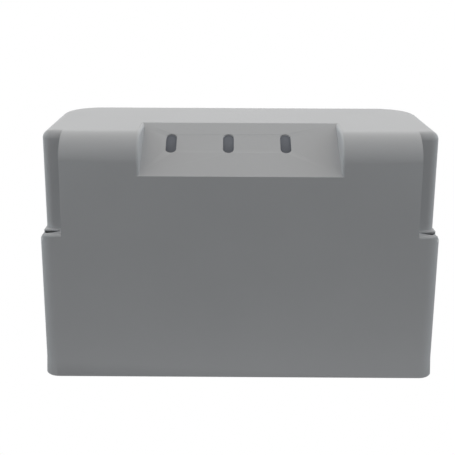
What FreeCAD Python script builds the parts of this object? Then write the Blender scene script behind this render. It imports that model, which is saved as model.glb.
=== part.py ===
import FreeCAD, Part
import math
import os

from FreeCAD import Vector

# A wall-mounted 51 V lithium battery: a moulded hood that lifts off a steel chassis, sixteen
# prismatic cells clamped in the tray, and the switchgear on a shelf above them.
# Millimetres. X runs to the right, Y towards the wall, Z up; the origin is the middle of the
# foot of the unit.

# ---------------------------------------------------------------- driving dimensions

# Overall
unit_depth = 253.2            # front of the skirt to the wall
wall_gap = 1.0                # hood to wall

# Hood
hood_width = 600.0            # at the foot, without the skirt's flare
hood_height = 377.0
hood_wall = 4.0
side_draft = 1.0              # degrees
front_draft = 0.93
front_edge_radius = 40.0      # long edge between front and top
rim_radius = 12.0             # top edge at the sides and the rear
front_corner_radius = 22.0
rear_corner_radius = 65.0
skirt_height = 26.0
skirt_flare = 1.2

# Shoulder and corner notches of the hood
ledge_height = 230.0
shoulder_step = 5.0           # the upper sides and rear stand in by this much
notch_width = 29.5
notch_depth = 34.0            # from the front of the foot
notch_draft = 1.3
lip_radius = 4.0
grip_radius = 25.6            # finger opening in each ledge
grip_drop = 10.0              # how far it cuts down the side
grip_setback = 37.4           # its centre, from the front of the foot
grip_inset = 9.0              # its centre, inside the hood's side
grip_floor = 28.0             # the ledge is whole from here back
grip_end = 76.0               # the side is cut down as far as this

# Recessed cable panel of the hood
recess_half_width = 145.0
recess_run = 104.0            # top edge, from the front of the foot
recess_drop = 58.5            # lower edge, below the top
recess_rim = 5.0              # rounding down its two sides
slot_width = 16.0
slot_length = 41.0
slot_pitch = 85.0
slot_offset = -17.5           # middle slot, from the middle of the hood
slot_reach = 65.0             # slot centres, from the front of the foot
guide_wall = 2.5              # chutes under the slots
guide_foot = 320.0

# Rear opening of the hood, and its four side screws
rear_gap_half_width = 224.0
rear_gap_height = 345.0
screw_height = 40.0
screw_spread = 150.0
screw_radius = 2.5
screw_head_radius = 5.0
screw_sink = 3.0
boss_radius = 8.0
boss_gap = 0.4                # boss to tray flange

# Chassis
sheet = 2.0
foot_height = 10.0
foot_radius = 16.0
foot_spread_x = 480.0
foot_spread_y = 160.0
tray_half_width = 286.0
tray_front_gap = 10.0         # tray to hood, at the front
tray_front_lip = 22.0
tray_side_lip = 40.0
tray_corner = 50.0            # rear corners, in plan
back_plate_gap = 20.0         # back plate to wall
back_plate_half_width = 236.0
back_plate_top = 320.0

# Wall bracket
bracket_sheet = 2.5
bracket_half_width = 205.0
bracket_bottom = 60.0
bracket_top = 330.0
bracket_hook_height = 300.0
bracket_hook_reach = 13.0
bracket_lip = 16.0
bolt_spread_x = 360.0
bolt_spread_z = 150.0
bolt_slot_width = 9.0
bolt_slot_length = 24.0
lock_screw_spread = 300.0

# Cells
cell_width = 130.3
cell_thickness = 36.7
cell_height = 200.5
cell_pad = 1.0
column_gap = 1.5
columns = 4
rows = 4
post_offset = 46.0
post_radius = 9.0
post_height = 2.0
stud_radius = 3.0
stud_height = 10.0
liner = 1.5
busbar = 2.5
busbar_width = 20.0
nut_height = 5.0
nut_flats = 10.0

# Clamp
plate = 5.0
plate_half_width = 276.0
plate_height = 180.0
rod_x = 268.0
rod_heights = (60.0, 150.0)
rod_radius = 3.0

# Shelf
shelf_height = 232.0
shelf_half_width = 246.0
shelf_lip = 16.0

# Clearances
slip = 0.3                    # pieces that move beside each other
pin_play = 0.08               # hinge pins in their bores, on the radius


# ---------------------------------------------------------------- shared helpers

front_y = -unit_depth / 2 + skirt_flare      # front of the hood at its foot, without the flare
wall_y = unit_depth / 2
hood_rear_y = wall_y - wall_gap


def tan(degrees):
    return math.tan(math.radians(degrees))


def box(x0, x1, y0, y1, z0, z1):
    """A block between two corners."""
    return Part.makeBox(x1 - x0, y1 - y0, z1 - z0, Vector(x0, y0, z0))


def rod(start, end, radius):
    """A round bar from one point to another."""
    axis = Vector(*end) - Vector(*start)
    return Part.makeCylinder(radius, axis.Length, Vector(*start), axis)


def prism(points, sweep):
    """A closed outline pushed along a vector."""
    corners = [Vector(*point) for point in points]
    outline = Part.makePolygon(corners + corners[:1])
    return Part.Face(outline).extrude(Vector(*sweep))


def hexagon(start, end, flats):
    """A hexagonal bar from one point to another, for nuts and screw heads."""
    axis = Vector(*end) - Vector(*start)
    reach = flats / 2 / math.cos(math.pi / 6)
    turns = [math.pi / 6 + step * math.pi / 3 for step in range(6)]
    shape = prism([(reach * math.cos(t), reach * math.sin(t), 0) for t in turns],
                  (0, 0, axis.Length))
    turn = FreeCAD.Rotation(Vector(0, 0, 1), axis)
    return shape.transformed(FreeCAD.Placement(Vector(*start), turn).toMatrix())


def nut(start, end, flats, bore):
    """A hexagonal nut between two points on its axis."""
    return hexagon(start, end, flats).cut(rod(start, end, bore))


def obround(width, length, height):
    """A slot shape centred on the origin, long way along Y, its middle plane at Z = 0."""
    straight = (length - width) / 2
    shape = box(-width / 2, width / 2, -straight, straight, -height / 2, height / 2)
    for y in (-straight, straight):
        shape = shape.fuse(rod((0, y, -height / 2), (0, y, height / 2), width / 2))
    return shape.removeSplitter()


def joined(shapes):
    """One solid from pieces that touch or overlap."""
    shape = shapes[0]
    for other in shapes[1:]:
        shape = shape.fuse(other)
    return shape.removeSplitter()


def group(shapes):
    """Like pieces that share a node but stay separate."""
    return Part.makeCompound(shapes)


def less(shape, cutters):
    """A shape with cutters taken out of it."""
    for cutter in cutters:
        shape = shape.cut(cutter)
    return shape


def mirrored(shape):
    """The same shape on the other side of X = 0."""
    return shape.mirror(Vector(0, 0, 0), Vector(1, 0, 0))


def rounded(shape, radius, test):
    """Round the edges whose middle point passes a test."""
    edges = []
    for edge in shape.Edges:
        middle = edge.valueAt((edge.FirstParameter + edge.LastParameter) / 2)
        if test(edge, middle):
            edges.append(edge)
    return shape.makeFillet(radius, edges)


def upright(edge, middle):
    """True for an edge that runs straight up."""
    start, end = edge.valueAt(edge.FirstParameter), edge.valueAt(edge.LastParameter)
    return abs(start.z - end.z) > 0.98 * edge.Length


def strap(points, width, thickness, across):
    """A flat copper bar along points on its middle line.

    Its width lies along the axis named by across (0 for X, 1 for Y); None lays the bar flat, so
    that it turns in plan.
    """
    spans = []
    for start, end in zip(points, points[1:]):
        low = [min(a, b) for a, b in zip(start, end)]
        high = [max(a, b) for a, b in zip(start, end)]
        if across is None:
            half = [width / 2, width / 2, thickness / 2]
        else:
            half = [thickness / 2] * 3
            half[across] = width / 2
        spans.append(box(low[0] - half[0], high[0] + half[0], low[1] - half[1],
                         high[1] + half[1], low[2] - half[2], high[2] + half[2]))
    return joined(spans)


def levels_of(outlines):
    """A solid through level outlines, with straight sides between them."""
    return Part.makeLoft(outlines, True, True)


# ---------------------------------------------------------------- hood

def front_at(z):
    """Y of the hood's front face at a height."""
    return front_y + z * tan(front_draft)


def lower_half(z):
    """Half the hood's width below the shoulder."""
    return hood_width / 2 - z * tan(side_draft)


def upper_half(z):
    """Half the hood's width above the shoulder."""
    return lower_half(z) - shoulder_step


def outline(half_width, y0, y1, front_radius, rear_radius, z):
    """A level rectangle with rounded corners, symmetrical about X = 0."""
    corners = [
        (-1, y0, front_radius, 180),
        (1, y0, front_radius, 270),
        (1, y1, rear_radius, 0),
        (-1, y1, rear_radius, 90),
    ]
    turns = []
    for side, y, radius, start in corners:
        if radius > 0:
            centre = Vector(side * (half_width - radius), y + (radius if y == y0 else -radius), z)
            angles = [math.radians(start + step) for step in (0, 45, 90)]
            turns.append([centre + Vector(math.cos(a), math.sin(a), 0) * radius for a in angles])
        else:
            turns.append([Vector(side * half_width, y, z)])
    edges = []
    for turn, after in zip(turns, turns[1:] + turns[:1]):
        if len(turn) == 3:
            edges.append(Part.Arc(*turn).toShape())
        edges.append(Part.LineSegment(turn[-1], after[0]).toShape())
    return Part.Wire(edges)


def notch(inset):
    """What each upper front corner leaves out of the hood, on the right-hand side."""
    step = ledge_height - inset
    low = step - 2 * lip_radius
    high = hood_height + 40
    outlines = []
    for z in (low, high):
        inner = upper_half(ledge_height) - notch_width - (z - step) * tan(notch_draft) - inset
        back = front_y + notch_depth + (z - step) * tan(front_draft) + inset
        outlines.append(Part.makePolygon([
            Vector(inner, front_y - 60, z),
            Vector(hood_width, front_y - 60, z),
            Vector(hood_width, back, z),
            Vector(inner, back, z),
            Vector(inner, front_y - 60, z),
        ]))
    return levels_of(outlines)


recess_top = Vector(0, front_y + recess_run, hood_height)
recess_foot = Vector(0, front_at(hood_height - recess_drop), hood_height - recess_drop)
recess_slope = math.degrees(math.atan2(recess_top.z - recess_foot.z, recess_top.y - recess_foot.y))


def recess(inset):
    """The wedge that leaves the sloping cable panel, over the front edge."""
    along = (recess_top - recess_foot).normalize()
    normal = Vector(0, -along.z, along.y)
    start = recess_foot - along * 60 - normal * inset
    end = recess_top + along * 30 - normal * inset
    half = recess_half_width + inset
    points = [
        (-half, start.y, start.z),
        (-half, end.y, end.z),
        (-half, end.y, hood_height + 90),
        (-half, start.y, hood_height + 90),
    ]
    return prism(points, (2 * half, 0, 0))


def on_recess_rim(edge, middle):
    """True for the edges down both sides of the recess, above its sloping floor."""
    floor = recess_foot.z + (middle.y - recess_foot.y) * tan(recess_slope)
    return abs(abs(middle.x) - recess_half_width) < 0.01 and middle.z > floor + 0.5


def front_round(inset):
    """What rounding the long front edge removes, between the two notches."""
    top = hood_height - inset
    radius = front_edge_radius - inset
    lean = math.radians(front_draft)
    centre = Vector(0, front_at(top - radius) + (inset + radius) / math.cos(lean), top - radius)
    turns = [lean, (lean + math.pi / 2) / 2, math.pi / 2]
    arc = [centre + Vector(0, -math.cos(turn), math.sin(turn)) * radius for turn in turns]
    above = Vector(0, centre.y, top + 30)
    ahead = Vector(0, arc[0].y - 60, top + 30)
    below = Vector(0, arc[0].y - 60, arc[0].z)
    edges = [Part.Arc(*arc).toShape()]
    for start, end in ((arc[2], above), (above, ahead), (ahead, below), (below, arc[0])):
        edges.append(Part.LineSegment(start, end).toShape())
    strip = Part.Face(Part.Wire(edges)).extrude(Vector(hood_width, 0, 0))
    strip.translate(Vector(-hood_width / 2, 0, 0))
    walls = []
    for z in (top - radius - 20, top + 40):
        inner = (upper_half(ledge_height) - notch_width - inset
                 - (z - ledge_height + inset) * tan(notch_draft))
        walls.append(Part.makePolygon([
            Vector(-inner, -hood_width, z),
            Vector(inner, -hood_width, z),
            Vector(inner, hood_width, z),
            Vector(-inner, hood_width, z),
            Vector(-inner, -hood_width, z),
        ]))
    return strip.common(levels_of(walls))


def hood_form(inset):
    """The outside of the hood, or with an inset the hollow inside it."""
    foot = 0.0 if inset == 0 else -1.0
    flare = skirt_flare if inset == 0 else 0.0
    step = ledge_height - inset
    root = step - lip_radius - 1
    top = hood_height - inset
    front = front_corner_radius - inset
    rear = rear_corner_radius - inset
    rear_y = hood_rear_y - inset

    skirt_foot = outline(lower_half(foot) - inset + flare, front_at(foot) + inset - flare,
                         rear_y, front + flare, rear, foot)
    skirt = outline(lower_half(skirt_height) - inset, front_at(skirt_height) + inset,
                    rear_y, front, rear, skirt_height)
    shoulder = outline(lower_half(step) - inset, front_at(step) + inset,
                       rear_y, front, rear, step)
    lower = levels_of([skirt_foot, skirt]).fuse(levels_of([skirt, shoulder])).removeSplitter()
    if inset == 0:
        lower = rounded(lower, lip_radius, lambda edge, middle: middle.z > step - 0.1)

    levels = []
    for z in (root, top):
        levels.append(outline(upper_half(z) - inset, front_at(z) + inset,
                              rear_y - shoulder_step, 0.0, rear - shoulder_step, z))
    upper = less(levels_of(levels), [notch(inset), mirrored(notch(inset))])
    notch_back = front_y + notch_depth + inset
    upper = rounded(upper, rim_radius + 1 - inset, lambda edge, middle: (
        upright(edge, middle) and abs(middle.x) > upper_half(top) - 1 - inset
        and middle.y < notch_back + 5))
    upper = rounded(upper, rim_radius - inset, lambda edge, middle: (
        middle.z > top - 0.1 and middle.y > notch_back
        and (abs(middle.x) > 1 or middle.y > 0)))
    shape = lower.fuse(upper).removeSplitter()
    shape = less(shape, [front_round(inset), recess(inset)])
    if inset == 0:
        shape = rounded(shape, recess_rim, on_recess_rim)
    return shape


def cable_guide(x):
    """A short upright chute under a slot, moulded with the cable panel."""
    sleeves = []
    for spare in (guide_wall, 0.0):
        sleeve = obround(slot_width + 2 + 2 * spare, slot_length + 2 * spare,
                         hood_height - guide_foot)
        sleeve.translate(Vector(x, front_y + slot_reach, (hood_height + guide_foot) / 2))
        sleeves.append(sleeve)
    return sleeves[0].cut(sleeves[1]).cut(recess(1.0))


def hood():
    """The moulded hood: shell, cable slots, finger openings, rear opening and screw bosses."""
    shape = hood_form(0.0).cut(hood_form(hood_wall))
    along = slot_reach - (recess_foot.y - front_y)
    slot_y = front_y + slot_reach
    slot_z = recess_foot.z + along * tan(recess_slope)
    for step in (-1, 0, 1):
        slot = obround(slot_width, slot_length, 8 * hood_wall)
        slot.rotate(Vector(0, 0, 0), Vector(1, 0, 0), recess_slope)
        slot.translate(Vector(slot_offset + step * slot_pitch, slot_y, slot_z))
        shape = shape.cut(slot).fuse(cable_guide(slot_offset + step * slot_pitch))

    grip_x = upper_half(ledge_height) - grip_inset + shoulder_step
    grip_y = front_y + grip_setback
    floor_y = front_y + grip_floor
    low = ledge_height - grip_drop
    disc = rod((grip_x, grip_y, low), (grip_x, grip_y, ledge_height + 2), grip_radius)
    behind = box(grip_x - 60, grip_x + 80, floor_y, floor_y + 90, low - 1, ledge_height + 3)
    side = box(upper_half(ledge_height) + 0.5, grip_x + 60, floor_y - 5, front_y + grip_end,
               low, ledge_height + 2)
    grip = disc.cut(behind).fuse(side)
    gap = box(-rear_gap_half_width, rear_gap_half_width,
              hood_rear_y - shoulder_step - hood_wall - 2, hood_rear_y + 2,
              -2, rear_gap_height)
    shape = less(shape, [grip, mirrored(grip), gap])

    face = lower_half(screw_height)
    for y in (-screw_spread / 2, screw_spread / 2):
        boss = rod((boss_face, y, screw_height), (face - hood_wall + 1, y, screw_height),
                   boss_radius)
        shape = joined([shape, boss, mirrored(boss)])
        hole = rod((boss_face - 1, y, screw_height), (face + 5, y, screw_height),
                   screw_radius + 0.2)
        sink = rod((face - screw_sink, y, screw_height), (face + 5, y, screw_height),
                   screw_head_radius + 0.4)
        shape = less(shape, [hole, sink, mirrored(hole), mirrored(sink)])
    return shape


boss_face = tray_half_width + boss_gap


def hood_screws():
    """Four side screws, flush in the hood."""
    shapes = []
    face = lower_half(screw_height)
    for y in (-screw_spread / 2, screw_spread / 2):
        head = rod((face - screw_sink, y, screw_height), (face - 0.4, y, screw_height),
                   screw_head_radius)
        socket = hexagon((face - 2, y, screw_height), (face + 1, y, screw_height), 4.0)
        shank = rod((nut_face - 4.5, y, screw_height), (face - screw_sink, y, screw_height),
                    screw_radius)
        screw = head.cut(socket).fuse(shank).removeSplitter()
        shapes += [screw, mirrored(screw)]
    return group(shapes)


nut_face = tray_half_width - sheet - 0.4


def hood_nuts():
    """The captive nuts of the side screws, inside the tray's flanges."""
    shapes = []
    for y in (-screw_spread / 2, screw_spread / 2):
        shape = nut((nut_face - 4, y, screw_height), (nut_face, y, screw_height), 8.0,
                    screw_radius)
        shapes += [shape, mirrored(shape)]
    return group(shapes)


# ---------------------------------------------------------------- wall bracket and chassis

back_y = wall_y - back_plate_gap             # rear face of the back plate
tray_top = foot_height + sheet
tray_front_y = front_y + hood_wall + tray_front_gap
hook_top = bracket_hook_height + bracket_lip
bolt_height = (bracket_bottom + bracket_hook_height) / 2 + 15


def wall_bracket():
    """A steel plate screwed to the wall, with an upturned hook along its top."""
    plate_face = wall_y - bracket_sheet
    lip_y = plate_face - bracket_hook_reach
    shape = joined([
        box(-bracket_half_width, bracket_half_width, plate_face, wall_y,
            bracket_bottom, bracket_top),
        box(-bracket_half_width + 5, bracket_half_width - 5, lip_y, plate_face,
            bracket_hook_height, bracket_hook_height + bracket_sheet),
        box(-bracket_half_width + 5, bracket_half_width - 5, lip_y, lip_y + bracket_sheet,
            bracket_hook_height, hook_top),
    ])
    for x in (-bolt_spread_x / 2, bolt_spread_x / 2):
        for z in (bolt_height - bolt_spread_z / 2, bolt_height + bolt_spread_z / 2):
            slot = obround(bolt_slot_width, bolt_slot_length, 30)
            slot.rotate(Vector(0, 0, 0), Vector(0, 0, 1), 90)
            slot.rotate(Vector(0, 0, 0), Vector(1, 0, 0), 90)
            slot.translate(Vector(x, wall_y, z))
            shape = shape.cut(slot)
    for x in (-lock_screw_spread / 2, lock_screw_spread / 2):
        shape = shape.cut(rod((x, plate_face - 1, lock_height), (x, wall_y + 1, lock_height), 3.0))
    return shape


lock_height = bracket_hook_height - 20


def back_plate():
    """The chassis's back sheet, whose folded top hangs on the bracket's hook."""
    lip_y = wall_y - bracket_sheet - bracket_hook_reach + bracket_sheet + 3.5
    shape = joined([
        box(-back_plate_half_width, back_plate_half_width, back_y - sheet, back_y,
            tray_top, hook_top + sheet),
        box(-bracket_half_width + 10, bracket_half_width - 10, back_y, lip_y + sheet,
            hook_top, hook_top + sheet),
        box(-bracket_half_width + 10, bracket_half_width - 10, lip_y, lip_y + sheet,
            hook_top - 12, hook_top + sheet),
    ])
    holes = []
    for x in (-lock_screw_spread / 2, lock_screw_spread / 2):
        holes.append(rod((x, back_y - 5, lock_height), (x, back_y + 1, lock_height), 3.3))
    for x in rivet_places:
        holes.append(rod((x, back_y - 5, tray_top + 9), (x, back_y + 1, tray_top + 9), 2.4))
    for x in (-shelf_screw_x, shelf_screw_x):
        holes.append(rod((x, back_y - 5, shelf_height - 8), (x, back_y + 1, shelf_height - 8), 2.0))
    return less(shape, holes)


rivet_places = (-200.0, -80.0, 80.0, 200.0)
shelf_screw_x = 180.0


def lock_screws():
    """Two screws that lock the back plate to the bracket."""
    shapes = []
    for x in (-lock_screw_spread / 2, lock_screw_spread / 2):
        head = hexagon((x, back_y - sheet - 4, lock_height), (x, back_y - sheet, lock_height), 10.0)
        shank = rod((x, back_y - sheet, lock_height), (x, wall_y - 0.5, lock_height), 3.0)
        shapes.append(joined([head, shank]))
    return group(shapes)


def spacer_tubes():
    """Steel tubes round the lock screws, between back plate and bracket."""
    shapes = []
    for x in (-lock_screw_spread / 2, lock_screw_spread / 2):
        start, end = (x, back_y, lock_height), (x, wall_y - bracket_sheet, lock_height)
        shapes.append(rod(start, end, 7.0).cut(rod(start, end, 3.3)))
    return group(shapes)


def buffers():
    """Rubber buffers that hold the lower back plate off the bracket."""
    shapes = []
    for x in (-lock_screw_spread / 2, lock_screw_spread / 2):
        start = (x, back_y, bracket_bottom + 20)
        shapes.append(rod(start, (x, wall_y - bracket_sheet, bracket_bottom + 20), 9.0))
    return group(shapes)


def base_tray():
    """The folded steel tray that carries the cells."""
    half = tray_half_width
    lips = []
    for side in (-1, 1):
        x0, x1 = sorted((side * half, side * (half - sheet)))
        lip = box(x0, x1, -screw_spread / 2 - 15, screw_spread / 2 + 15,
                  foot_height, tray_top + tray_side_lip)
        for y in (-screw_spread / 2, screw_spread / 2):
            throat = box(x0 - 1, x1 + 1, y - 3, y + 3, screw_height, tray_top + tray_side_lip + 1)
            lip = less(lip, [throat, rod((x0 - 1, y, screw_height), (x1 + 1, y, screw_height), 3.0)])
        lips.append(lip)
    shape = joined([
        Part.Face(outline(half, tray_front_y, back_y, 12.0, tray_corner, foot_height)).extrude(
            Vector(0, 0, sheet)),
        box(-half + 20, half - 20, tray_front_y, tray_front_y + sheet,
            tray_top, tray_top + tray_front_lip),
        box(-back_plate_half_width + 6, back_plate_half_width - 6, back_y - 2 * sheet,
            back_y - sheet, tray_top, tray_top + 18),
    ] + lips)
    holes = [rod((x, y, 0), (x, y, 20), foot_radius / 4) for x, y in foot_places]
    for x in rivet_places:
        holes.append(rod((x, back_y - 5, tray_top + 9), (x, back_y + 1, tray_top + 9), 2.4))
    return less(shape, holes)


foot_places = [(sx * foot_spread_x / 2, sy * foot_spread_y / 2) for sx in (-1, 1) for sy in (-1, 1)]


def feet():
    """Four rubber feet, plugged into the tray."""
    shapes = []
    for x, y in foot_places:
        pad = rod((x, y, 0), (x, y, foot_height), foot_radius)
        pad = rounded(pad, 2.0, lambda edge, middle: middle.z < 0.1 and edge.Length > 60)
        shapes.append(joined([pad, rod((x, y, foot_height), (x, y, tray_top), foot_radius / 4)]))
    return group(shapes)


def chassis_rivets():
    """Rivets through the tray's rear flange and the back plate."""
    shapes = []
    z = tray_top + 9
    for x in rivet_places:
        shank = rod((x, back_y - 2 * sheet, z), (x, back_y, z), 2.4)
        head = rod((x, back_y, z), (x, back_y + 1.5, z), 4.5)
        shapes.append(joined([shank, head]))
    return group(shapes)


# ---------------------------------------------------------------- cells and their clamp

stack_rear = back_y - 2 * sheet - slip
cells_rear = stack_rear - plate - cell_pad
cells_front = cells_rear - rows * cell_thickness - (rows - 1) * cell_pad
stack_front = cells_front - cell_pad - plate
cell_foot = tray_top + liner
cell_top = cell_foot + cell_height
bar_level = cell_top + post_height
cells_half = (columns * cell_width + (columns - 1) * column_gap) / 2


def column_x(column):
    """Middle of a column of cells."""
    return (column - (columns - 1) / 2) * (cell_width + column_gap)


def row_y(row):
    """Middle of a row of cells; row 0 is at the front."""
    return cells_front + cell_thickness / 2 + row * (cell_thickness + cell_pad)


def cell(column, row):
    """A prismatic cell: aluminium can, two posts with studs, and a vent."""
    x, y = column_x(column), row_y(row)
    can = box(x - cell_width / 2, x + cell_width / 2, y - cell_thickness / 2,
              y + cell_thickness / 2, cell_foot, cell_top)
    can = rounded(can, 2.5, upright)
    can = can.cut(rod((x, y, cell_top - 0.6), (x, y, cell_top + 1), 8.0))
    shapes = [can]
    for side in (-post_offset, post_offset):
        shapes.append(rod((x + side, y, cell_top), (x + side, y, bar_level), post_radius))
        shapes.append(rod((x + side, y, bar_level), (x + side, y, bar_level + stud_height),
                          stud_radius))
    return joined(shapes)


def cell_column(column):
    """Four cells, front to rear, that make one column of the stack."""
    return group([cell(column, row) for row in range(rows)])


def tray_liner():
    """An insulating sheet under the cells."""
    return box(-plate_half_width + 4, plate_half_width - 4, stack_front - 1, stack_rear,
               tray_top, cell_foot)


def cell_pads():
    """Foam sheets between the rows and at both plates."""
    sheets = []
    for row in range(rows + 1):
        y = cells_front - cell_pad + row * (cell_thickness + cell_pad)
        sheets.append(box(-cells_half, cells_half, y, y + cell_pad, cell_foot, cell_top - 10))
    return group(sheets)


def end_plate(y, bore):
    """A clamping plate across the stack."""
    shape = box(-plate_half_width, plate_half_width, y, y + plate, cell_foot,
                cell_foot + plate_height)
    holes = []
    for x in (-rod_x, rod_x):
        holes += [rod((x, y - 1, z), (x, y + plate + 1, z), bore) for z in rod_heights]
    return less(shape, holes)


def end_plate_front():
    """The front plate, with two stiffening ribs."""
    ribs = [box(-cells_half + 10, cells_half - 10, stack_front - 5, stack_front, z, z + 8)
            for z in (80.0, 120.0)]
    return joined([end_plate(stack_front, rod_radius + slip)] + ribs)


def end_plate_rear():
    """The rear plate, tapped for the tie rods."""
    return end_plate(stack_rear - plate, rod_radius)


def tie_rods():
    """Four threaded rods that pull the plates together."""
    return group([rod((x, stack_front - 8, z), (x, stack_rear - 0.5, z), rod_radius)
                  for x in (-rod_x, rod_x) for z in rod_heights])


def busbar_holes(shape, places):
    """Stud holes through a bar on the cells."""
    return less(shape, [rod((x, y, bar_level - 1), (x, y, bar_level + busbar + 1),
                            stud_radius + 0.2) for x, y in places])


def busbars():
    """Bars that join each cell to the next one in its column."""
    bars = []
    for column in range(columns):
        for row in range(rows - 1):
            side = -1 if (row + column) % 2 == 0 else 1
            x = column_x(column) + side * post_offset
            middle = (row_y(row) + row_y(row + 1)) / 2
            length = cell_thickness + cell_pad + busbar_width
            bar = obround(busbar_width, length, busbar)
            bar.translate(Vector(x, middle, bar_level + busbar / 2))
            bars.append(busbar_holes(bar, [(x, row_y(row)), (x, row_y(row + 1))]))
    return group(bars)


def column_links():
    """Bars from column to column: two at the rear and a long one along the front."""
    links = []
    level = bar_level + busbar / 2
    for left in (0, 2):
        x0 = column_x(left) + post_offset
        x1 = column_x(left + 1) - post_offset
        y = row_y(rows - 1)
        bar = obround(busbar_width, x1 - x0 + busbar_width, busbar)
        bar.rotate(Vector(0, 0, 0), Vector(0, 0, 1), 90)
        bar.translate(Vector((x0 + x1) / 2, y, level))
        links.append(busbar_holes(bar, [(x0, y), (x1, y)]))
    x0 = column_x(1) - post_offset
    x1 = column_x(2) + post_offset
    y = row_y(0)
    run = y - post_radius - 5.5
    bar = strap([(x0, y, level), (x0, run, level), (x1, run, level), (x1, y, level)],
                8.0, busbar, None)
    tongues = [rod((x, y, bar_level), (x, y, bar_level + busbar), post_radius) for x in (x0, x1)]
    links.append(busbar_holes(joined([bar] + tongues), [(x0, y), (x1, y)]))
    return group(links)


riser_x = column_x(columns - 1) - post_offset
riser_y = row_y(0) + 14.0
cover_top = bar_level + stud_height + 3.0


def cell_cover():
    """A clear cover over the live bars, standing on the cells."""
    edge = 0.6
    skin = 1.5
    outer = box(-cells_half - edge - skin, cells_half + edge + skin, cells_front - edge - skin,
                cells_rear + edge + skin, cell_top - 7, cover_top)
    hollow = box(-cells_half - edge, cells_half + edge, cells_front - edge, cells_rear + edge,
                 cell_top - 8, cover_top - skin)
    pillars = []
    for column in range(columns):
        for row in (0, rows - 1):
            for side in (-22, 22):
                x, y = column_x(column) + side, row_y(row)
                pillars.append(rod((x, y, cell_top), (x, y, cover_top - skin + 0.5), 3.0))
    shape = joined([outer.cut(hollow)] + pillars)
    return less(shape, [box(x - 14, x + 14, riser_y - 6, riser_y + 6, cover_top - 10, cover_top + 1)
                        for x in (-riser_x, riser_x)])


# ---------------------------------------------------------------- battery management board

spreader_y = stack_front - 11.0
board_y = spreader_y - 3.0 - 6.0
board_middle = 110.0


def bms_spreader():
    """The aluminium sheet behind the board."""
    return box(-130, 130, spreader_y - 3, spreader_y, board_middle - 70, board_middle + 70)


def bms_board():
    """The battery management board."""
    return box(-120, 120, board_y - 1.6, board_y, board_middle - 60, board_middle + 60)


def bms_parts():
    """Transistors, connectors and capacitors on the board."""
    face = board_y - 1.6
    shapes = [box(-104 + 13 * i, -94 + 13 * i, face - 5, face, board_middle + 12, board_middle + 28)
              for i in range(10)]
    shapes += [box(-90 + 50 * i, -54 + 50 * i, face - 9, face, board_middle - 54, board_middle - 44)
               for i in range(3)]
    shapes += [rod((60, face - 16, board_middle + z), (60, face, board_middle + z), 6.5)
               for z in (-10, 8, 26)]
    shapes.append(box(-20, 4, face - 2, face, board_middle - 22, board_middle + 2))
    return group(shapes)


def bms_heatsink():
    """A finned bar clamped over the transistors."""
    face = board_y - 1.6 - 5
    fins = [box(-108, 27, face - 15, face - 3, z, z + 1.5)
            for z in (board_middle + 8 + 4.5 * i for i in range(6))]
    return joined([box(-108, 27, face - 3, face, board_middle + 8, board_middle + 32)] + fins)


# ---------------------------------------------------------------- shelf

shelf_top = shelf_height + sheet
shelf_front_y = tray_front_y + 4.0


def shelf():
    """The steel shelf for the switchgear, above the cells."""
    shape = joined([
        box(-shelf_half_width, shelf_half_width, shelf_front_y, back_y - sheet,
            shelf_height, shelf_top),
        box(-back_plate_half_width + 6, back_plate_half_width - 6, back_y - 2 * sheet,
            back_y - sheet, shelf_height - shelf_lip, shelf_height),
        box(-shelf_half_width + 20, shelf_half_width - 20, shelf_front_y, shelf_front_y + sheet,
            shelf_height - 10, shelf_height),
    ])
    holes = [box(x - 16, x + 16, riser_y - 8, riser_y + 8, shelf_height - 1, shelf_top + 1)
             for x in (-riser_x, riser_x)]
    for x in (-shelf_screw_x, shelf_screw_x):
        holes.append(rod((x, back_y - 5, shelf_height - 8), (x, back_y + 1, shelf_height - 8), 2.0))
    for x in (-post_x, post_x):
        holes.append(rod((x, shelf_front_y + 8, 200), (x, shelf_front_y + 8, 300), 2.0))
    return less(shape, holes)


post_x = shelf_half_width - 8.0


def shelf_posts():
    """Folded posts from the tray to the front of the shelf."""
    x0, x1 = shelf_half_width - 15, shelf_half_width
    y0, y1 = shelf_front_y, shelf_front_y + 15
    post = joined([
        box(x0, x1, y0, y0 + sheet, tray_top, shelf_height),
        box(x1 - sheet, x1, y0, y1, tray_top, shelf_height),
        box(x0, x1, y0, y1, shelf_height - sheet, shelf_height),
        box(x0, x1, y0, y1, tray_top, tray_top + sheet),
    ])
    post = post.cut(rod((post_x, shelf_front_y + 8, shelf_height - 4),
                        (post_x, shelf_front_y + 8, shelf_height + 1), 2.0))
    return group([post, mirrored(post)])


def shelf_screws():
    """Screws of the shelf: two down into the posts, two back into the back plate."""
    shapes = []
    y = shelf_front_y + 8
    for side in (-1, 1):
        x = side * post_x
        shapes.append(joined([
            hexagon((x, y, shelf_top), (x, y, shelf_top + 2.5), 7.0),
            rod((x, y, shelf_height - 5), (x, y, shelf_top), 2.0),
        ]))
        x = side * shelf_screw_x
        z = shelf_height - 8
        shapes.append(joined([
            hexagon((x, back_y, z), (x, back_y + 2.5, z), 7.0),
            rod((x, back_y - 2 * sheet - 0.5, z), (x, back_y, z), 2.0),
        ]))
    return group(shapes)


def earth_stud():
    """The earthing stud with its nut."""
    x, y = 225.0, shelf_front_y + 30
    return joined([
        rod((x, y, shelf_top), (x, y, shelf_top + 3), 8.0),
        rod((x, y, shelf_top + 3), (x, y, shelf_top + 22), 3.0),
    ])


# ---------------------------------------------------------------- power terminals

terminal_y = front_y + slot_reach            # below the cable slots
positive_x = slot_offset - slot_pitch
negative_x = slot_offset
block_half = 17.0
block_top = shelf_top + 20.0
hinge_y = terminal_y + block_half + 5.0
hinge_z = block_top + 4.0
lug_level = block_top + 3.0
bar = 2.5
bar_width = 16.0
cap_half = block_half + 3.5


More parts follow.
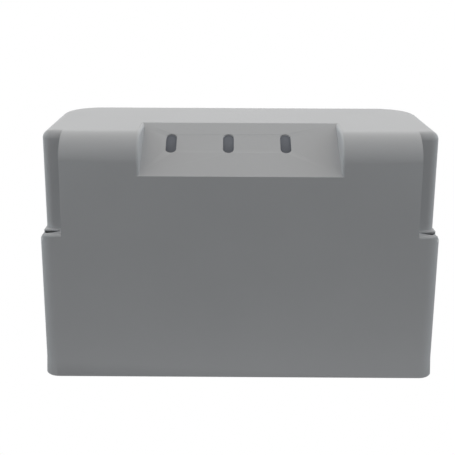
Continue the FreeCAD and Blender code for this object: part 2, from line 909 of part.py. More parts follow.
def terminal_block(x):
    """An insulating block with two ears for the cap's hinge."""
    shapes = [box(x - block_half, x + block_half, terminal_y - block_half,
                  terminal_y + block_half, shelf_top, block_top)]
    for side in (-1, 1):
        x0, x1 = sorted((x + side * 12, x + side * 16))
        shapes.append(box(x0, x1, terminal_y + block_half, hinge_y + 4, shelf_top + 6,
                          block_top - 4))
        shapes.append(box(x0, x1, hinge_y - 4, hinge_y + 4, shelf_top + 6, hinge_z))
        shapes.append(rod((x0, hinge_y, hinge_z), (x1, hinge_y, hinge_z), 4.0))
    bore = rod((x - 20, hinge_y, hinge_z), (x + 20, hinge_y, hinge_z), 1.5 + pin_play)
    return joined(shapes).cut(bore)


def terminal_stud(x):
    """A brass stud with a collar."""
    return joined([
        rod((x, terminal_y, block_top), (x, terminal_y, lug_level), 9.0),
        rod((x, terminal_y, lug_level), (x, terminal_y, lug_level + 22), 4.0),
    ])


def terminal_nuts():
    """The nuts of the two power studs."""
    shapes = []
    for x in (positive_x, negative_x):
        shapes.append(nut((x, terminal_y, lug_level + bar), (x, terminal_y, lug_level + bar + 6.5),
                          13.0, 4.0))
    return group(shapes)


def terminal_cap(x, window_side):
    """A flip cap over a power stud, hinged at the rear, open where bar and cable come in."""
    skin = 2.0
    top = lug_level + 30
    low = block_top - 6
    y0, y1 = terminal_y - cap_half, terminal_y + block_half + 0.5
    outer = box(x - cap_half, x + cap_half, y0, y1, low, top)
    outer = rounded(outer, 3.0, lambda edge, middle: (
        middle.z > top - 0.1 or (upright(edge, middle) and middle.y < terminal_y)))
    hollow = box(x - cap_half + skin, x + cap_half - skin, y0 + skin, y1 - skin, low - 1, top - skin)
    heel = box(x - cap_half - 1, x + cap_half + 1, y1 - skin - 1.5, y1 + 1, low - 1, block_top + 0.6)
    side0, side1 = sorted((x, x + window_side * (cap_half + 1)))
    window = box(side0, side1, terminal_y - bar_width / 2 - 1.5, y1 - skin,
                 low - 1, lug_level + bar + 1.5)
    cable = box(x - 8, x + 8, y0 - 1, terminal_y, low - 1, lug_level + 16)
    shell = less(outer, [hollow, heel, window, cable])
    knuckle = rod((x - 12 + slip, hinge_y, hinge_z), (x + 12 - slip, hinge_y, hinge_z), 3.7)
    tab = box(x - 11, x + 11, y1 - skin, hinge_y, hinge_z - 1.5, hinge_z + 1.5)
    pin = rod((x - 15.5, hinge_y, hinge_z), (x + 15.5, hinge_y, hinge_z), 1.5)
    return joined([shell, knuckle, tab, pin])


# ---------------------------------------------------------------- breaker, fuse, shunt, contactor

breaker_x = -209.0
breaker_front = terminal_y - 31.0
breaker_back = breaker_front + 80.0
breaker_foot = shelf_top + 7.5
breaker_top = breaker_foot + 58.0
lever_y = (breaker_front + breaker_back) / 2
lever_z = breaker_top - 5.0
deck = shelf_top + 12.0                      # level of the power bars above the shelf
deck_middle = deck + bar / 2


def din_rail():
    """A short rail under the breaker."""
    y0, y1 = lever_y - 17.5, lever_y + 17.5
    x0, x1 = breaker_x - 33, breaker_x + 33
    return joined([
        box(x0, x1, y0 + 6, y1 - 6, shelf_top, shelf_top + 1),
        box(x0, x1, y0 + 6, y0 + 7, shelf_top, breaker_foot),
        box(x0, x1, y1 - 7, y1 - 6, shelf_top, breaker_foot),
        box(x0, x1, y0, y0 + 7, breaker_foot - 1, breaker_foot),
        box(x0, x1, y1 - 7, y1, breaker_foot - 1, breaker_foot),
    ])


def breaker_body():
    """The breaker's moulded case, with a trough for the lever and a pocket at each end."""
    half = 27.0
    case = box(breaker_x - half, breaker_x + half, breaker_front, breaker_back,
               breaker_foot, breaker_top)
    case = rounded(case, 2.0, lambda edge, middle: middle.z > breaker_top - 0.1)
    cuts = [box(breaker_x - 22, breaker_x + 22, lever_y - 12, lever_y + 12, breaker_top - 14,
                breaker_top + 1)]
    cuts.append(rod((breaker_x - 25, lever_y, lever_z), (breaker_x + 25, lever_y, lever_z),
                    2.0 + pin_play))
    for y in (breaker_front, breaker_back):
        cuts.append(box(breaker_x - 11, breaker_x + 11, y - 12, y + 12, deck, deck + 12))
    for y in (breaker_front, breaker_back):
        cuts.append(box(breaker_x - half - 1, breaker_x + half + 1, y - 14, y + 14,
                        breaker_top - 9, breaker_top + 1))
    return less(case, cuts)


def breaker_lever():
    """The breaker's lever: barrel, pins and handle, leaning back when on."""
    barrel = rod((breaker_x - 22 + slip, lever_y, lever_z), (breaker_x + 22 - slip, lever_y, lever_z),
                 8.0)
    pins = rod((breaker_x - 24.5, lever_y, lever_z), (breaker_x + 24.5, lever_y, lever_z), 2.0)
    handle = box(breaker_x - 19, breaker_x + 19, lever_y - 3.5, lever_y + 3.5, lever_z + 4,
                 lever_z + 26)
    handle = rounded(handle, 2.0, lambda edge, middle: middle.z > lever_z + 25.9)
    handle.rotate(Vector(breaker_x, lever_y, lever_z), Vector(1, 0, 0), -30)
    return joined([barrel, pins, handle])


fuse_x = -riser_x
fuse_front = riser_y + 20.0                  # front stud
fuse_rear = fuse_front + 86.0
fuse_middle = (fuse_front + fuse_rear) / 2
fuse_axis_x = fuse_x + 21.5                  # hinge line of the cover
fuse_axis_z = deck + 3.0


def fuse_base():
    """The fuse's insulating base, with two ears for its cover."""
    shape = box(fuse_x - 20, fuse_x + 20, fuse_front - 12, fuse_rear + 12, shelf_top, deck)
    shape = shape.cut(box(fuse_x - 15, fuse_x + 15, fuse_middle - 31, fuse_middle + 31,
                          deck - 4, deck + 1))
    for y in (fuse_middle - 20, fuse_middle + 14):
        post = box(fuse_axis_x - 3.5, fuse_axis_x + 3, y, y + 6, shelf_top, fuse_axis_z)
        ear = rod((fuse_axis_x, y, fuse_axis_z), (fuse_axis_x, y + 6, fuse_axis_z), 3.0)
        post = post.cut(box(fuse_x, fuse_axis_x - 3, y - 1, y + 7, deck, fuse_axis_z + 1))
        shape = joined([shape, post, ear])
    bore = rod((fuse_axis_x, fuse_middle - 30, fuse_axis_z),
               (fuse_axis_x, fuse_middle + 30, fuse_axis_z), 1.2 + pin_play)
    return shape.cut(bore)


def fuse():
    """The main fuse: a ceramic barrel between two blades."""
    z = deck + bar
    barrel = rod((fuse_x, fuse_middle - 27, deck + 10), (fuse_x, fuse_middle + 27, deck + 10), 13.0)
    blades = [
        box(fuse_x - 9, fuse_x + 9, fuse_front - 9, fuse_middle - 26, z, z + 2),
        box(fuse_x - 9, fuse_x + 9, fuse_middle + 26, fuse_rear + 9, z, z + 2),
    ]
    holes = [rod((fuse_x, y, z - 1), (fuse_x, y, z + 3), 3.2) for y in (fuse_front, fuse_rear)]
    return less(joined([barrel] + blades), holes)


def fuse_cover():
    """A clear cover over the fuse barrel, hinged along its right side."""
    skin = 1.5
    low = deck + slip
    top = deck + 26.5
    y0, y1 = fuse_middle - 29, fuse_middle + 29
    outer = box(fuse_x - 18, fuse_x + 18, y0, y1, low, top)
    hollow = box(fuse_x - 18 + skin, fuse_x + 18 - skin, y0 + skin, y1 - skin, low - 1, top - skin)
    knuckle = rod((fuse_axis_x, fuse_middle - 14 + slip, fuse_axis_z),
                  (fuse_axis_x, fuse_middle + 14 - slip, fuse_axis_z), 2.7)
    tab = box(fuse_x + 18 - skin, fuse_axis_x, fuse_middle - 13, fuse_middle + 13,
              fuse_axis_z - 1, fuse_axis_z + 1)
    pin = rod((fuse_axis_x, fuse_middle - 19, fuse_axis_z),
              (fuse_axis_x, fuse_middle + 19, fuse_axis_z), 1.2)
    blades = box(fuse_x - 10, fuse_x + 10, y0 - 1, y1 + 1, low - 1, deck + bar + 3)
    return joined([less(outer, [hollow, blades]), knuckle, tab, pin])


shunt_x = riser_x
shunt_front = fuse_front
shunt_rear = shunt_front + 76.0


def shunt():
    """The current shunt: two brass blocks joined by resistance strips."""
    blocks = [box(shunt_x - 13, shunt_x + 13, y - 9, y + 9, deck - 6, deck)
              for y in (shunt_front, shunt_rear)]
    strips = [box(shunt_x + x - 1, shunt_x + x + 1, shunt_front + 8, shunt_rear - 8,
                  deck - 5.5, deck - 0.5) for x in (-9, -3, 3, 9)]
    return joined(blocks + strips)


def shunt_base():
    """The shunt's insulating base."""
    return box(shunt_x - 16, shunt_x + 16, shunt_front - 12, shunt_rear + 12, shelf_top, deck - 6)


contactor_x = 12.0
contactor_y = shunt_rear - 15.0
contactor_top = shelf_top + 56.0


def contactor():
    """The main contactor: a boxed coil on a flange."""
    case = box(contactor_x - 28, contactor_x + 28, contactor_y - 28, contactor_y + 28,
               shelf_top + 4, contactor_top)
    case = rounded(case, 5.0, upright)
    flange = box(contactor_x - 34, contactor_x + 34, contactor_y - 24, contactor_y + 24,
                 shelf_top, shelf_top + 4)
    fin = box(contactor_x - 28, contactor_x + 28, contactor_y - 1.5, contactor_y + 1.5,
              contactor_top, contactor_top + 8)
    return joined([case, flange, fin])


def power_places():
    """Where the power bars are bolted: (x, y, level, thickness of what lies on the level)."""
    return [
        (fuse_x, fuse_front, deck, bar + 2),
        (fuse_x, fuse_rear, deck, bar + 2),
        (shunt_x, shunt_front, deck, bar),
        (shunt_x, shunt_rear, deck, bar),
        (contactor_x, contactor_y - 15, contactor_top, bar),
        (contactor_x, contactor_y + 15, contactor_top, bar),
    ]


def power_studs():
    """Studs of fuse, shunt and contactor."""
    return group([rod((x, y, level), (x, y, level + 14), 3.0) for x, y, level, lay in power_places()])


def m6_nuts():
    """Every M6 nut: on the tie rods, the cell posts and the power studs."""
    places = [(Vector(x, stack_front, z), Vector(0, -1, 0))
              for x in (-rod_x, rod_x) for z in rod_heights]
    for column in range(columns):
        for row in range(rows):
            for side in (-post_offset, post_offset):
                seat = Vector(column_x(column) + side, row_y(row), bar_level + busbar)
                places.append((seat, Vector(0, 0, 1)))
    places += [(Vector(x, y, level + lay), Vector(0, 0, 1)) for x, y, level, lay in power_places()]
    return group([nut(seat, seat + up * nut_height, nut_flats, stud_radius)
                  for seat, up in places])


def drilled(shape, places):
    """Clearance holes for studs, through a bar."""
    return less(shape, [rod((x, y, z - 4), (x, y, z + 4), radius + 0.2)
                        for x, y, z, radius in places])


def riser(x, far_y):
    """The bar from an end cell up through cover and shelf, then back to a stud on the deck."""
    start = row_y(0)
    level = bar_level + busbar / 2
    shape = strap([
        (x, start - 7, level),
        (x, riser_y, level),
        (x, riser_y, deck_middle),
        (x, far_y + 7, deck_middle),
    ], bar_width, bar, 0)
    return drilled(shape, [(x, start, level, stud_radius), (x, far_y, deck_middle, 3.0)])


def bar_fuse_breaker():
    """The bar from the fuse to the rear of the breaker."""
    shape = strap([
        (fuse_x, fuse_rear, deck_middle),
        (breaker_x, fuse_rear, deck_middle),
        (breaker_x, breaker_back - 3, deck_middle),
    ], bar_width, bar, None)
    return drilled(shape, [(fuse_x, fuse_rear, deck_middle, 3.0)])


def bar_breaker_positive():
    """The bar from the front of the breaker to the positive stud."""
    level = lug_level + bar / 2
    turn_x = positive_x - cap_half - 11
    flat = strap([
        (breaker_x, breaker_front + 3, deck_middle),
        (breaker_x, breaker_front - bar_width / 2 - 1, deck_middle),
        (turn_x, breaker_front - bar_width / 2 - 1, deck_middle),
        (turn_x, terminal_y, deck_middle),
    ], bar_width, bar, None)
    rise = strap([
        (turn_x, terminal_y, deck_middle),
        (turn_x, terminal_y, level),
        (positive_x + 8, terminal_y, level),
    ], bar_width, bar, 1)
    return drilled(joined([flat, rise]), [(positive_x, terminal_y, level, 4.0)])


def bar_shunt_contactor():
    """The bar from the shunt up to the contactor."""
    level = contactor_top + bar / 2
    turn_x = contactor_x + 44
    shape = strap([
        (shunt_x + 8, shunt_rear, deck_middle),
        (turn_x, shunt_rear, deck_middle),
        (turn_x, shunt_rear, level),
        (contactor_x - 8, shunt_rear, level),
    ], bar_width - 2, bar, 1)
    return drilled(shape, [(shunt_x, shunt_rear, deck_middle, 3.0),
                           (contactor_x, contactor_y + 15, level, 3.0)])


def bar_contactor_negative():
    """The bar from the contactor down and forward to the negative stud."""
    top = contactor_top + bar / 2
    level = lug_level + bar / 2
    turn_y = contactor_y - 28 - 8
    down = strap([
        (contactor_x, contactor_y - 15 + 7, top),
        (contactor_x, turn_y, top),
        (contactor_x, turn_y, level),
        (contactor_x, terminal_y, level),
    ], bar_width - 2, bar, 0)
    over = box(negative_x - 8, contactor_x + bar_width / 2 - 1, terminal_y - 8, terminal_y + 8,
               lug_level, lug_level + bar)
    return drilled(joined([down, over]), [(contactor_x, contactor_y - 15, top, 3.0),
                                          (negative_x, terminal_y, level, 4.0)])


# ---------------------------------------------------------------- communication board

comm_x = slot_offset + slot_pitch            # below the third cable slot
comm_level = shelf_top + 6.0
comm_face = comm_level + 1.6
button_x = comm_x + 42.0
button_y = terminal_y - 16.0


def pillars():
    """Pillars behind the heat spreader and under both boards."""
    shapes = []
    for x in (-115, 115):
        for z in (board_middle - 55, board_middle + 55):
            shapes.append(rod((x, spreader_y, z), (x, stack_front, z), 3.0))
    for x in (-110, 110):
        for z in (board_middle - 50, board_middle + 50):
            shapes.append(rod((x, board_y, z), (x, spreader_y - 3, z), 3.0))
    for x in (comm_x - 24, comm_x + 56):
        for y in (terminal_y - 30, terminal_y + 26):
            shapes.append(rod((x, y, shelf_top), (x, y, comm_level), 3.0))
    return group(shapes)


def comm_board():
    """The board with the sockets, switches and lamps."""
    return box(comm_x - 30, comm_x + 62, terminal_y - 36, terminal_y + 32, comm_level, comm_face)


def comm_sockets():
    """Two network sockets that open upward, under the cable slot."""
    shapes = []
    for x in (comm_x - 10, comm_x + 10):
        case = box(x - 8, x + 8, terminal_y - 9, terminal_y + 9, comm_face, comm_face + 18)
        mouth = box(x - 6, x + 6, terminal_y - 5, terminal_y + 4, comm_face + 4, comm_face + 19)
        key = box(x - 2.5, x + 2.5, terminal_y - 7.5, terminal_y - 4, comm_face + 4, comm_face + 19)
        shapes.append(less(case, [mouth, key]))
    return group(shapes)


def address_switch():
    """A block of small slide switches."""
    shape = box(button_x - 10, button_x + 10, terminal_y + 8, terminal_y + 18, comm_face,
                comm_face + 5)
    slits = [box(x - 1, x + 1, terminal_y + 10, terminal_y + 16, comm_face + 4, comm_face + 6)
             for x in (button_x - 7.5 + 5 * i for i in range(4))]
    return less(shape, slits)


def lamps():
    """A row of charge lamps."""
    shapes = []
    for i in range(5):
        x = comm_x - 20 + 9 * i
        y = terminal_y - 24
        stem = rod((x, y, comm_face), (x, y, comm_face + 4), 2.5)
        shapes.append(joined([stem, Part.makeSphere(2.5, Vector(x, y, comm_face + 4))]))
    return group(shapes)


def button_case():
    """The push switch's body."""
    shape = box(button_x - 9, button_x + 9, button_y - 9, button_y + 9, comm_face, comm_face + 12)
    return shape.cut(rod((button_x, button_y, comm_face + 3), (button_x, button_y, comm_face + 13),
                         6.0 + slip))


def power_button():
    """The push button."""
    shape = rod((button_x, button_y, comm_face + 3 + button_travel + slip),
                (button_x, button_y, comm_face + 16), 6.0)
    return rounded(shape, 1.0, lambda edge, middle: middle.z > comm_face + 15.9)


button_travel = 2.5


# ---------------------------------------------------------------- files

def nodes():
    """Every piece by its node name."""
    shapes = {
        "hood": hood(),
        "hood_screws": hood_screws(),
        "hood_nuts": hood_nuts(),
        "wall_bracket": wall_bracket(),
        "back_plate": back_plate(),
        "lock_screws": lock_screws(),
        "spacer_tubes": spacer_tubes(),
        "buffers": buffers(),
        "base_tray": base_tray(),
        "feet": feet(),
        "chassis_rivets": chassis_rivets(),
        "tray_liner": tray_liner(),
        "cell_pads": cell_pads(),
        "end_plate_front": end_plate_front(),
        "end_plate_rear": end_plate_rear(),
        "tie_rods": tie_rods(),
        "busbars": busbars(),
        "column_links": column_links(),
        "m6_nuts": m6_nuts(),
        "cell_cover": cell_cover(),
        "bms_spreader": bms_spreader(),
        "pillars": pillars(),
        "bms_board": bms_board(),
        "bms_parts": bms_parts(),
        "bms_heatsink": bms_heatsink(),
        "shelf": shelf(),
        "shelf_posts": shelf_posts(),
        "shelf_screws": shelf_screws(),
        "earth_stud": earth_stud(),
        "terminal_blocks": group([terminal_block(positive_x), terminal_block(negative_x)]),
        "terminal_studs": group([terminal_stud(positive_x), terminal_stud(negative_x)]),
        "terminal_nuts": terminal_nuts(),
        "terminal_cap_positive": terminal_cap(positive_x, -1),
        "terminal_cap_negative": terminal_cap(negative_x, 1),
        "din_rail": din_rail(),
        "breaker_body": breaker_body(),
        "breaker_lever": breaker_lever(),
        "fuse_base": fuse_base(),
        "fuse": fuse(),
        "fuse_cover": fuse_cover(),
        "shunt": shunt(),
        "shunt_base": shunt_base(),
        "contactor": contactor(),
        "power_studs": power_studs(),
        "risers": group([riser(fuse_x, fuse_front), riser(shunt_x, shunt_front)]),
        "bar_fuse_breaker": bar_fuse_breaker(),
        "bar_breaker_positive": bar_breaker_positive(),
        "bar_shunt_contactor": bar_shunt_contactor(),
        "bar_contactor_negative": bar_contactor_negative(),
        "comm_board": comm_board(),
        "comm_sockets": comm_sockets(),
        "button_case": button_case(),
        "power_button": power_button(),
        "address_switch": address_switch(),
        "lamps": lamps(),
    }
    for column in range(columns):
        shapes["cell_column_%d" % (column + 1)] = cell_column(column)
    return shapes


os.makedirs("parts", exist_ok=True)
for name, shape in nodes().items():
    state = "ok" if shape.isValid() else "INVALID"
    print("%-24s %s %d solids %.0f mm3" % (name, state, len(shape.Solids), shape.Volume))
    shape.exportStep("parts/%s.step" % name)
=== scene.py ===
import math

import bmesh
import bpy
from mathutils import Matrix, Vector


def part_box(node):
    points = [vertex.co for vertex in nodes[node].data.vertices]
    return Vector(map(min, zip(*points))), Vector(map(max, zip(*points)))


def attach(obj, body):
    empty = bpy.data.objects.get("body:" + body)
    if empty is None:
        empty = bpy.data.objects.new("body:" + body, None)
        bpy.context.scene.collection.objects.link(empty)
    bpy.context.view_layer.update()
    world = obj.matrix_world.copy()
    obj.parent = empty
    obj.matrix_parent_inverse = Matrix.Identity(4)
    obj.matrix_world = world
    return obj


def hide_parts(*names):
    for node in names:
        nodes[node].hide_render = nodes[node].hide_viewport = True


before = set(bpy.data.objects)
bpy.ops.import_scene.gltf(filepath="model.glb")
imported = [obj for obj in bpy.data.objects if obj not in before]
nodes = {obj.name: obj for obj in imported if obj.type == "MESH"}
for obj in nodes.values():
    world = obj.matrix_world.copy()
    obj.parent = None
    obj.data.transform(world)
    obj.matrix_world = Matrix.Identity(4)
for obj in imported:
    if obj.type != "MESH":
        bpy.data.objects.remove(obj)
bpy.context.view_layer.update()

# ---------------------------------------------------------------- wall bracket and chassis sheets
# The bracket, back plate, tray, shelf and its two posts are folded mild steel sheet, 2 to 2.5 mm,
# laser cut, then powder coated a charcoal grey with a faint orange peel. The coat is rubbed
# through to bright metal along the edges where the sheets hook together.


def put(tree, kind, inputs=None, **settings):
    """Adds a node; inputs are values, the sockets that feed it, or a list of them."""
    made = tree.nodes.new(kind)
    for key, value in settings.items():
        setattr(made, key, value)
    for socket, value in (inputs or {}).items():
        if isinstance(value, bpy.types.NodeSocket):
            tree.links.new(value, made.inputs[socket])
        elif isinstance(value, list):
            for one in value:
                tree.links.new(one, made.inputs[socket])
        else:
            made.inputs[socket].default_value = value
    return made


def effect(name, numbers, results):
    """A shader node group with number inputs; results maps an output to its socket type."""
    group = bpy.data.node_groups.new(name, "ShaderNodeTree")
    for label, value in numbers.items():
        socket = group.interface.new_socket(label, in_out="INPUT",
                                            socket_type="NodeSocketFloat")
        socket.default_value = value
    for label, kind in results.items():
        group.interface.new_socket(label, in_out="OUTPUT", socket_type=kind)
    return group, put(group, "NodeGroupInput"), put(group, "NodeGroupOutput")


def surface_grain():
    """Fine relief and a slow drift of tone, both from the piece's own coordinates."""
    group, given, result = effect(
        "surface_grain",
        {"Per Metre": 900.0, "Relief": 0.00003, "Strength": 0.4, "Drift Per Metre": 14.0},
        {"Tone": "NodeSocketFloat", "Speckle": "NodeSocketFloat", "Normal": "NodeSocketVector"})
    place = put(group, "ShaderNodeTexCoord").outputs["Object"]
    fine = put(group, "ShaderNodeTexNoise", {
        "Vector": place, "Scale": given.outputs["Per Metre"], "Detail": 2.0})
    slow = put(group, "ShaderNodeTexNoise", {
        "Vector": place, "Scale": given.outputs["Drift Per Metre"], "Detail": 4.0,
        "Roughness": 0.6})
    bump = put(group, "ShaderNodeBump", {
        "Height": fine.outputs["Fac"], "Distance": given.outputs["Relief"],
        "Strength": given.outputs["Strength"]})
    group.links.new(slow.outputs["Fac"], result.inputs["Tone"])
    group.links.new(fine.outputs["Fac"], result.inputs["Speckle"])
    group.links.new(bump.outputs["Normal"], result.inputs["Normal"])
    return group


def rubbed_edges():
    """A mask that is 1 on sharp outer edges, broken up where the rubbing is uneven."""
    group, given, result = effect(
        "rubbed_edges", {"Width": 0.0006, "Breaks Per Metre": 60.0, "Amount": 1.0},
        {"Mask": "NodeSocketFloat"})
    place = put(group, "ShaderNodeTexCoord").outputs["Object"]
    facing = put(group, "ShaderNodeNewGeometry").outputs["Normal"]
    eased = put(group, "ShaderNodeBevel", {"Radius": given.outputs["Width"]}, samples=4)
    turn = put(group, "ShaderNodeVectorMath", {0: facing, 1: eased.outputs["Normal"]},
               operation="DOT_PRODUCT")
    edge = put(group, "ShaderNodeMapRange", {
        "Value": turn.outputs["Value"], "From Min": 0.995, "From Max": 0.93,
        "To Min": 0.0, "To Max": 1.0})
    breaks = put(group, "ShaderNodeTexNoise", {
        "Vector": place, "Scale": given.outputs["Breaks Per Metre"], "Detail": 5.0})
    gate = put(group, "ShaderNodeMapRange", {
        "Value": breaks.outputs["Fac"], "From Min": 0.42, "From Max": 0.62,
        "To Min": 0.0, "To Max": 1.0})
    worn = put(group, "ShaderNodeMath", {0: edge.outputs["Result"], 1: gate.outputs["Result"]},
               operation="MULTIPLY")
    scaled = put(group, "ShaderNodeMath", {0: worn.outputs[0], 1: given.outputs["Amount"]},
                 operation="MULTIPLY", use_clamp=True)
    group.links.new(scaled.outputs[0], result.inputs["Mask"])
    return group


def settled_dust():
    """A mask for the thin dust that lies on faces turned upwards."""
    group, given, result = effect(
        "settled_dust", {"Amount": 0.3, "Patches Per Metre": 35.0},
        {"Mask": "NodeSocketFloat"})
    place = put(group, "ShaderNodeTexCoord").outputs["Object"]
    facing = put(group, "ShaderNodeSeparateXYZ", {
        "Vector": put(group, "ShaderNodeNewGeometry").outputs["Normal"]})
    upward = put(group, "ShaderNodeMapRange", {
        "Value": facing.outputs["Z"], "From Min": 0.6, "From Max": 1.0,
        "To Min": 0.0, "To Max": 1.0})
    patches = put(group, "ShaderNodeTexNoise", {
        "Vector": place, "Scale": given.outputs["Patches Per Metre"], "Detail": 6.0,
        "Roughness": 0.65})
    lying = put(group, "ShaderNodeMath", {
        0: upward.outputs["Result"], 1: patches.outputs["Fac"]}, operation="MULTIPLY")
    scaled = put(group, "ShaderNodeMath", {0: lying.outputs[0], 1: given.outputs["Amount"]},
                 operation="MULTIPLY", use_clamp=True)
    group.links.new(scaled.outputs[0], result.inputs["Mask"])
    return group


grain_group, edge_group, dust_group = surface_grain(), rubbed_edges(), settled_dust()
dust_colour = (0.52, 0.50, 0.46, 1.0)


def use(tree, group, **numbers):
    """Places a shared effect in a material with its own numbers."""
    placed = put(tree, "ShaderNodeGroup", node_tree=group)
    for label, value in numbers.items():
        placed.inputs[label.replace("_", " ")].default_value = value
    return placed


def mix(tree, share, first, second):
    """Two colours mixed by a share; returns the colour socket."""
    blended = put(tree, "ShaderNodeMix", {"Factor": share}, data_type="RGBA")
    for index, value in ((6, first), (7, second)):
        if isinstance(value, bpy.types.NodeSocket):
            tree.links.new(value, blended.inputs[index])
        else:
            blended.inputs[index].default_value = (*value[:3], 1.0)
    return blended.outputs[2]


def stretch(tree, value, low, high, start=0.3, end=0.7):
    """A value from start to end, spread over low to high."""
    return put(tree, "ShaderNodeMapRange", {
        "Value": value, "From Min": start, "From Max": end,
        "To Min": low, "To Max": high}).outputs["Result"]


def finish_of(name, dark, light, rough, metal=0.0, relief=0.00003, per_metre=900.0,
              drift=14.0, rub=None, rub_width=0.0006, dust=0.0):
    """A material with two tones that drift, a fine relief, and worn or dusty parts."""
    material = bpy.data.materials.new(name)
    material.use_nodes = True
    tree = material.node_tree
    shader = tree.nodes["Principled BSDF"]
    grain = use(tree, grain_group, Per_Metre=per_metre, Relief=relief, Drift_Per_Metre=drift)
    colour = mix(tree, stretch(tree, grain.outputs["Tone"], 0.0, 1.0), dark, light)
    roughness = stretch(tree, grain.outputs["Tone"], rough[0], rough[1])
    metallic = None
    if rub:
        worn = use(tree, edge_group, Width=rub_width)
        colour = mix(tree, worn.outputs["Mask"], colour, rub)
        if not metal:
            metallic = worn.outputs["Mask"]
    if dust:
        lying = use(tree, dust_group, Amount=dust)
        colour = mix(tree, lying.outputs["Mask"], colour, dust_colour)
    tree.links.new(colour, shader.inputs["Base Color"])
    tree.links.new(roughness, shader.inputs["Roughness"])
    tree.links.new(grain.outputs["Normal"], shader.inputs["Normal"])
    if metallic is not None:
        tree.links.new(metallic, shader.inputs["Metallic"])
    else:
        shader.inputs["Metallic"].default_value = metal
    return material


def dress(material, *names):
    """Gives CAD nodes a finish."""
    for name in names:
        for held in nodes[name].material_slots:
            held.material = material


powder_coat = finish_of("powder_coat", (0.022, 0.024, 0.027), (0.034, 0.036, 0.040),
                        (0.38, 0.52), relief=0.00006, per_metre=420.0,
                        rub=(0.42, 0.42, 0.42), dust=0.25)
dress(powder_coat, "wall_bracket", "back_plate", "base_tray", "shelf", "shelf_posts")

# ---------------------------------------------------------------- lock screws, spacers, small steel
# Screws, nuts, rivets, rods and spacer tubes are turned or cold-headed steel, zinc plated and
# clear passivated: a cool silver with a little yellow and blue in it, duller in the corners.

zinc_plate = finish_of("zinc_plate", (0.50, 0.50, 0.48), (0.66, 0.67, 0.70), (0.22, 0.42),
                       metal=1.0, relief=0.00002, per_metre=700.0, drift=120.0,
                       rub=(0.80, 0.80, 0.80), rub_width=0.0003)
dress(zinc_plate, "lock_screws", "spacer_tubes", "chassis_rivets", "tie_rods", "m6_nuts",
      "shelf_screws", "terminal_nuts", "din_rail", "power_studs")

# ---------------------------------------------------------------- buffers and feet
# Moulded black rubber, pressed or screwed in: matt, slightly chalky, dusty on top.

rubber = finish_of("rubber", (0.012, 0.012, 0.012), (0.028, 0.028, 0.027), (0.75, 0.92),
                   relief=0.00008, per_metre=500.0, dust=0.5)
dress(rubber, "buffers", "feet")

# ---------------------------------------------------------------- tray liner and cell pads
# The liner is a sheet of natural nylon under the cells, and the terminal blocks and the
# breaker's body are moulded in the same white plastic. The pads are grey closed-cell foam, cut
# from sheet, that take up the swelling between the rows.

nylon = finish_of("natural_nylon", (0.60, 0.59, 0.55), (0.72, 0.71, 0.67), (0.42, 0.58),
                  relief=0.00003, per_metre=600.0, dust=0.15)
foam = finish_of("closed_cell_foam", (0.075, 0.077, 0.080), (0.13, 0.13, 0.135), (0.85, 0.97),
                 relief=0.0004, per_metre=1100.0)
dress(nylon, "tray_liner", "terminal_blocks", "breaker_body")
dress(foam, "cell_pads")

# ---------------------------------------------------------------- cells
# Sixteen prismatic cells: drawn aluminium cans in blue heat-shrunk film, with bare aluminium
# lids laser welded round the edge and threaded posts. The film is glossy and slightly rippled.

lid_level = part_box("cell_column_1")[1][2] - 0.0125


def cell_finish():
    """Blue film below the lid, bare satin aluminium above it."""
    material = finish_of("cell_film_and_lid", (0.010, 0.055, 0.19), (0.014, 0.075, 0.24),
                         (0.16, 0.30), relief=0.0003, per_metre=60.0, drift=30.0)
    tree = material.node_tree
    shader = tree.nodes["Principled BSDF"]
    place = put(tree, "ShaderNodeTexCoord").outputs["Object"]
    height = put(tree, "ShaderNodeSeparateXYZ", {"Vector": place}).outputs["Z"]
    bare = put(tree, "ShaderNodeMath", {0: height, 1: lid_level}, operation="GREATER_THAN")
    film = shader.inputs["Base Color"].links[0].from_socket
    gloss = shader.inputs["Roughness"].links[0].from_socket
    lines = put(tree, "ShaderNodeTexNoise", {
        "Vector": put(tree, "ShaderNodeMapping", {
            "Vector": place, "Scale": (900.0, 40.0, 40.0)}).outputs["Vector"],
        "Scale": 1.0, "Detail": 3.0}).outputs["Fac"]
    lid = mix(tree, lines, (0.62, 0.63, 0.64), (0.76, 0.77, 0.78))
    tree.links.new(mix(tree, bare.outputs[0], film, lid), shader.inputs["Base Color"])
    tree.links.new(bare.outputs[0], shader.inputs["Metallic"])
    satin = put(tree, "ShaderNodeMath", {0: bare.outputs[0], 1: 0.14, 2: gloss},
                operation="MULTIPLY_ADD")
    tree.links.new(satin.outputs[0], shader.inputs["Roughness"])
    return material


dress(cell_finish(), "cell_column_1", "cell_column_2", "cell_column_3", "cell_column_4")

# ---------------------------------------------------------------- plates, spreader and heat sink
# End plates, the board's spreader and the finned heat sink are aluminium, sawn and milled. The
# cutter leaves fine parallel lines along the length.


def milled(name, dark, light, rough, lines, rub):
    """A metal with fine parallel lines; lines is the stretch of the pattern on each axis."""
    relief = 0.00002
    material = finish_of(name, dark, light, rough, metal=1.0, relief=relief, rub=rub,
                         drift=20.0)
    tree = material.node_tree
    shader = tree.nodes["Principled BSDF"]
    place = put(tree, "ShaderNodeTexCoord").outputs["Object"]
    marks = put(tree, "ShaderNodeTexNoise", {
        "Vector": put(tree, "ShaderNodeMapping", {
            "Vector": place, "Scale": lines}).outputs["Vector"],
        "Scale": 1.0, "Detail": 4.0, "Roughness": 0.55}).outputs["Fac"]
    before = shader.inputs["Base Color"].links[0].from_socket
    deep = mix(tree, stretch(tree, marks, 0.0, 0.55), before, dark)
    tree.links.new(deep, shader.inputs["Base Color"])
    scored = put(tree, "ShaderNodeBump", {
        "Height": marks, "Distance": relief, "Strength": 0.5,
        "Normal": shader.inputs["Normal"].links[0].from_socket})
    tree.links.new(scored.outputs["Normal"], shader.inputs["Normal"])
    return material


